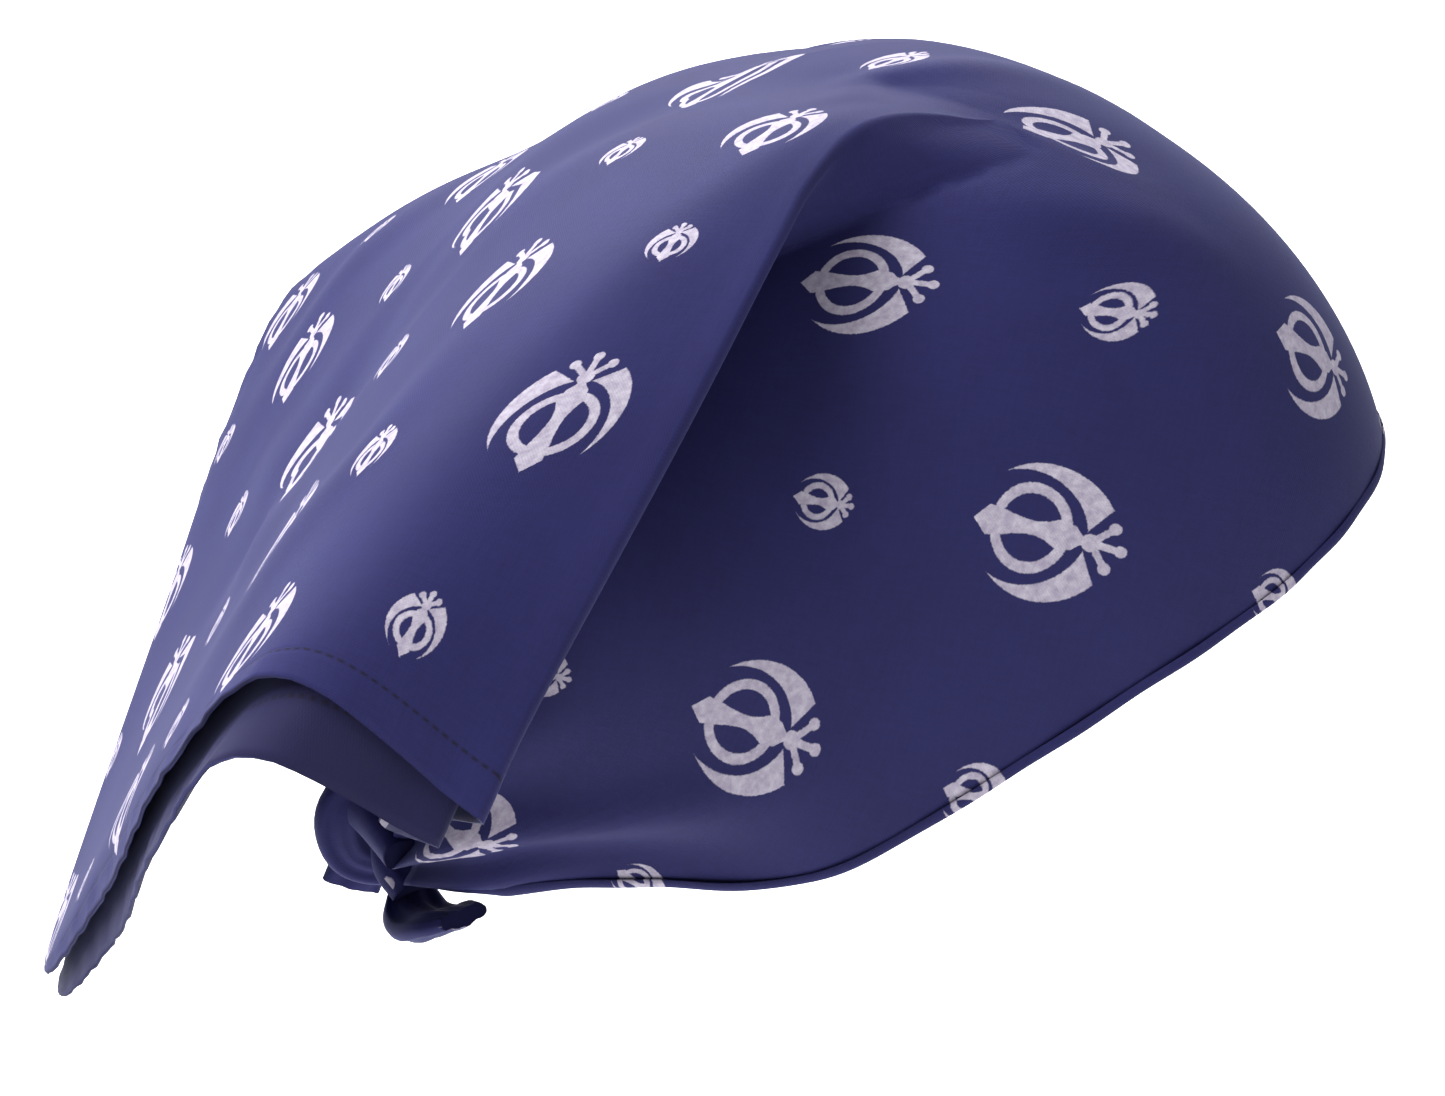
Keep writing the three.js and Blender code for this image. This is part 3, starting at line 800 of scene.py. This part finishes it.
# Turned hems: a narrow strip on the wrong side of each layer, from the crease to the tip. Run is the length
# that a level's share stands for near the hem, and column the place that shows which way is down
hemSet = {"width": 6.5, "lift": 0.75, "wall": 0.35, "across": 5, "run": 78, "column": 20}


def hemStrip(name, inset, far):
    levels = layerLevels(inset, far)
    fold, count = gridSet["under"] + gridSet["crease"], hemSet["across"]
    start = 1 - hemSet["width"] / hemSet["run"]
    shares = [start + (1 - start) * k / count for k in range(count + 1)]
    sections = [flapSection(levels, share, inset)[0][fold:] for share in shares]
    down = unit(sections[-1][hemSet["column"]] - sections[0][hemSet["column"]])
    rows = []
    for k, path in enumerate(sections):
        row = []
        y = hemSet["width"] * (1 - k / count)
        for c, p in enumerate(path):
            left, right = path[max(c - 1, 0)], path[min(c + 1, len(path) - 1)]
            inward = unit(np.cross(unit(right - left), down))
            w = c / (len(path) - 1)
            x = clothLie["crease"] * (1 - w)
            row.append((p + inward * (hemSet["lift"] - hemPucker(x, y)), (x + y * w, y)))
        row[-1] = (row[-1][0] * np.array([0, 1, 1]), row[-1][1])
        rows.append(row)
    mesh, layers = clothMesh()
    addGrid(mesh, rows, layers, far, True)
    return asPiece(name, mesh, [plainCotton if inset else printedCotton], hemSet["wall"])


hemPieces = {node: hemStrip(name, inset, far) for node, name, inset, far in (
    ("hem_outer_right", "outerHemRight", 0.0, False), ("hem_outer_left", "outerHemLeft", 0.0, True),
    ("hem_inner_right", "innerHemRight", flapGap, False), ("hem_inner_left", "innerHemLeft", flapGap, True))}
print("hems turned")

# Gathered cloth strands: a row per place along, out, back, up in millimetres, half width and half thickness
knotStrands = [
    [((-21, 102, -70), 7.5, 4.0), ((-12, 107, -67), 6.5, 4.6), ((0, 111, -68), 6.0, 5.0),
     ((9, 109, -75), 6.0, 4.6), ((7, 104, -82), 6.5, 4.0)],
    [((21, 102, -70), 7.5, 4.0), ((12, 106, -69), 6.5, 4.6), ((2, 105, -74), 6.5, 5.0),
     ((-8, 105, -79), 6.0, 4.6), ((-13, 102, -83), 6.0, 3.6)],
    [((0, 97, -70), 5.0, 3.2), ((-3, 101, -62.5), 5.5, 3.4), ((-4, 110, -61.5), 6.0, 3.6),
     ((-3, 116.5, -69), 6.0, 3.6), ((0, 115, -79), 6.0, 3.6), ((3, 107, -83), 5.5, 3.4),
     ((3, 99, -79), 5.0, 3.2)],
]
endStrands = {
    "knot_end_right": [((-10, 103, -85.8), 5.5, 3.1), ((-19, 102, -85.6), 7.4, 3.1),
                       ((-27, 99.5, -83.4), 8.4, 3.0), ((-33, 96.5, -79.6), 8.0, 2.6),
                       ((-38, 93, -76.5), 5.6, 1.9)],
    "knot_end_left": [((4, 113.3, -82.3), 5.4, 3.0), ((4, 114.6, -85.6), 6.3, 2.9),
                      ((4, 116, -89), 6.5, 2.2)],
}
# Steps round and along a strand, its pleats, how square its section is and how its cut ends are drawn in
strandSet = {"around": 48, "steps": 40, "look": 0.04, "pleats": 5, "deep": 0.2, "flat": 1.15, "square": 0.35,
             "inset": 0.0012, "sink": -0.0006}
# Millimetres of cloth for each millimetre along a strand, and across it for each of its half width
strandCloth = {"along": 0.9, "across": 1.6}


def sectionRing(mesh, layers, at, side, up, share, cloth):
    ring = []
    for j in range(strandSet["around"]):
        turn = 2 * math.pi * j / strandSet["around"]
        c, s = math.cos(turn), math.sin(turn)
        waves = (math.sin(strandSet["pleats"] * turn + 3 * share) * 0.6
                 + math.sin((strandSet["pleats"] * 2 + 1) * turn + 1.3) * 0.4)
        square = 1 / max(abs(c), abs(s) * strandSet["flat"]) ** strandSet["square"]
        place = at + side * c * square + up * s * (1 + strandSet["deep"] * waves) * square
        across = np.linalg.norm(side) * strandCloth["across"] * (turn / math.pi - 1)
        ring.append(addVert(mesh, layers, place, (cloth[0], cloth[1] + across)))
    return ring


def strand(mesh, layers, rows, faceUp, corner):
    places = [row[0] for row in rows]
    sizes = [(wide, thick, 0) for _, wide, thick in rows]
    rings = []
    run, before = 0.0, splineAt(places, 0)
    for k in range(strandSet["steps"] + 1):
        share = k / strandSet["steps"]
        at = splineAt(places, share)
        run += np.linalg.norm(at - before)
        before = at
        wide, thick, _ = splineAt(sizes, share)
        ahead, behind = splineAt(places, share + strandSet["look"]), splineAt(places, share - strandSet["look"])
        along = unit(ahead - behind)
        side = unit(np.cross(along, faceUp))
        up = np.cross(side, along)
        cloth = (corner[0] + run * strandCloth["along"], corner[1])
        rings.append(sectionRing(mesh, layers, at, side * wide, up * thick, share, cloth))
    for lower, upper in zip(rings, rings[1:]):
        for j in range(len(lower)):
            n = (j + 1) % len(lower)
            addFace(mesh, layers, [lower[j], lower[n], upper[n], upper[j]])
    for ring, sink in ((rings[0][::-1], 0), (rings[-1], strandSet["sink"])):
        face = addFace(mesh, layers, [(vert, corner) for vert, _ in ring])
        bmesh.ops.inset_individual(mesh, faces=[face], thickness=strandSet["inset"], depth=sink)


def gatheredPiece(name, strands, faceUps, corner):
    mesh, layers = clothMesh()
    for rows, faceUp in zip(strands, faceUps):
        strand(mesh, layers, rows, np.array(faceUp, float), corner)
    bmesh.ops.recalc_face_normals(mesh, faces=mesh.faces)
    return asPiece(name, mesh, [printedCotton])


knotPiece = gatheredPiece("knotWrap", knotStrands, [(0, -0.3, 1), (0, -0.3, 1), (1, 0, 0)], (498, 38))
endPieces = {
    "knot_end_right": gatheredPiece("cornerRight", [endStrands["knot_end_right"]], [(0, 0, 1)], (540, 12)),
    "knot_end_left": gatheredPiece("cornerLeft", [endStrands["knot_end_left"]], [(1, 0, 0.4)], (545, 14)),
}
print("knot tied")

trims = [(bandFoldPiece, "band_fold", "printed_cotton"), (knotPiece, "knot", "printed_cotton")]
trims += [(piece, node, "printed_cotton") for node, piece in {**hemPieces, **endPieces}.items()]
for piece, node, slot in trims:
    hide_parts(node)
    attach(piece, "root")
layerParts = (
    (outerCloth, ("cap_outer_layer", "back_flap_outer_layer"), "printed_cotton",
     [bandFoldPiece, knotPiece, hemPieces["hem_outer_right"], hemPieces["hem_outer_left"], *endPieces.values()]),
    (innerCloth, ("cap_inner_layer", "back_flap_inner_layer"), "cotton_wrong_side",
     [hemPieces["hem_inner_right"], hemPieces["hem_inner_left"]]),
)
for piece, nodes, slot, parts in layerParts:
    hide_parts(*nodes)
    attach(piece, "root")

# Floor and soft light
floorSet = {"drop": -0.36, "size": 40.0, "colour": (0.93, 0.93, 0.94, 1), "glow": 0.22}
floorMesh = bmesh.new()
bmesh.ops.create_grid(floorMesh, x_segments=1, y_segments=1, size=floorSet["size"])
for vert in floorMesh.verts:
    vert.co.z = floorSet["drop"]
floorData = bpy.data.meshes.new("studioFloor")
floorMesh.to_mesh(floorData)
floorMesh.free()
studioFloor = bpy.data.objects.new("studioFloor", floorData)
bpy.context.scene.collection.objects.link(studioFloor)
floorShop = Shop("paleFloor")
floorShop.dress({"Base Color": floorSet["colour"], "Roughness": 0.9, "Emission Color": floorSet["colour"],
                 "Emission Strength": floorSet["glow"]})
floorData.materials.append(floorShop.material)

lightSet = [
    {"name": "skyKey", "place": (-250, 900, 1100), "size": 1.2, "power": 44},
    {"name": "frontFill", "place": (-900, -700, 500), "size": 1.4, "power": 2},
    {"name": "farRim", "place": (700, 300, 800), "size": 1.0, "power": 6},
    {"name": "floorWash", "place": (2400, 0, 1500), "aim": (2400, -40, -360), "size": 3.0, "power": 150},
]
for entry in lightSet:
    lamp = bpy.data.lights.new(entry["name"], "AREA")
    lamp.size = entry["size"]
    lamp.energy = entry["power"]
    holder = bpy.data.objects.new(entry["name"], lamp)
    holder.location = inFrame(entry["place"])
    holder.rotation_euler = aimed(entry["place"], entry.get("aim", cameraSet["target"])).to_euler()
    bpy.context.scene.collection.objects.link(holder)
skySet = {"colour": (0.95, 0.96, 1.0, 1), "strength": 0.4}
world = bpy.data.worlds.new("studioSky")
world.use_nodes = True
sky = world.node_tree.nodes["Background"].inputs
sky["Color"].default_value = skySet["colour"]
sky["Strength"].default_value = skySet["strength"]
bpy.context.scene.world = world
bpy.context.scene.view_settings.view_transform = "Standard"
print("studio set")
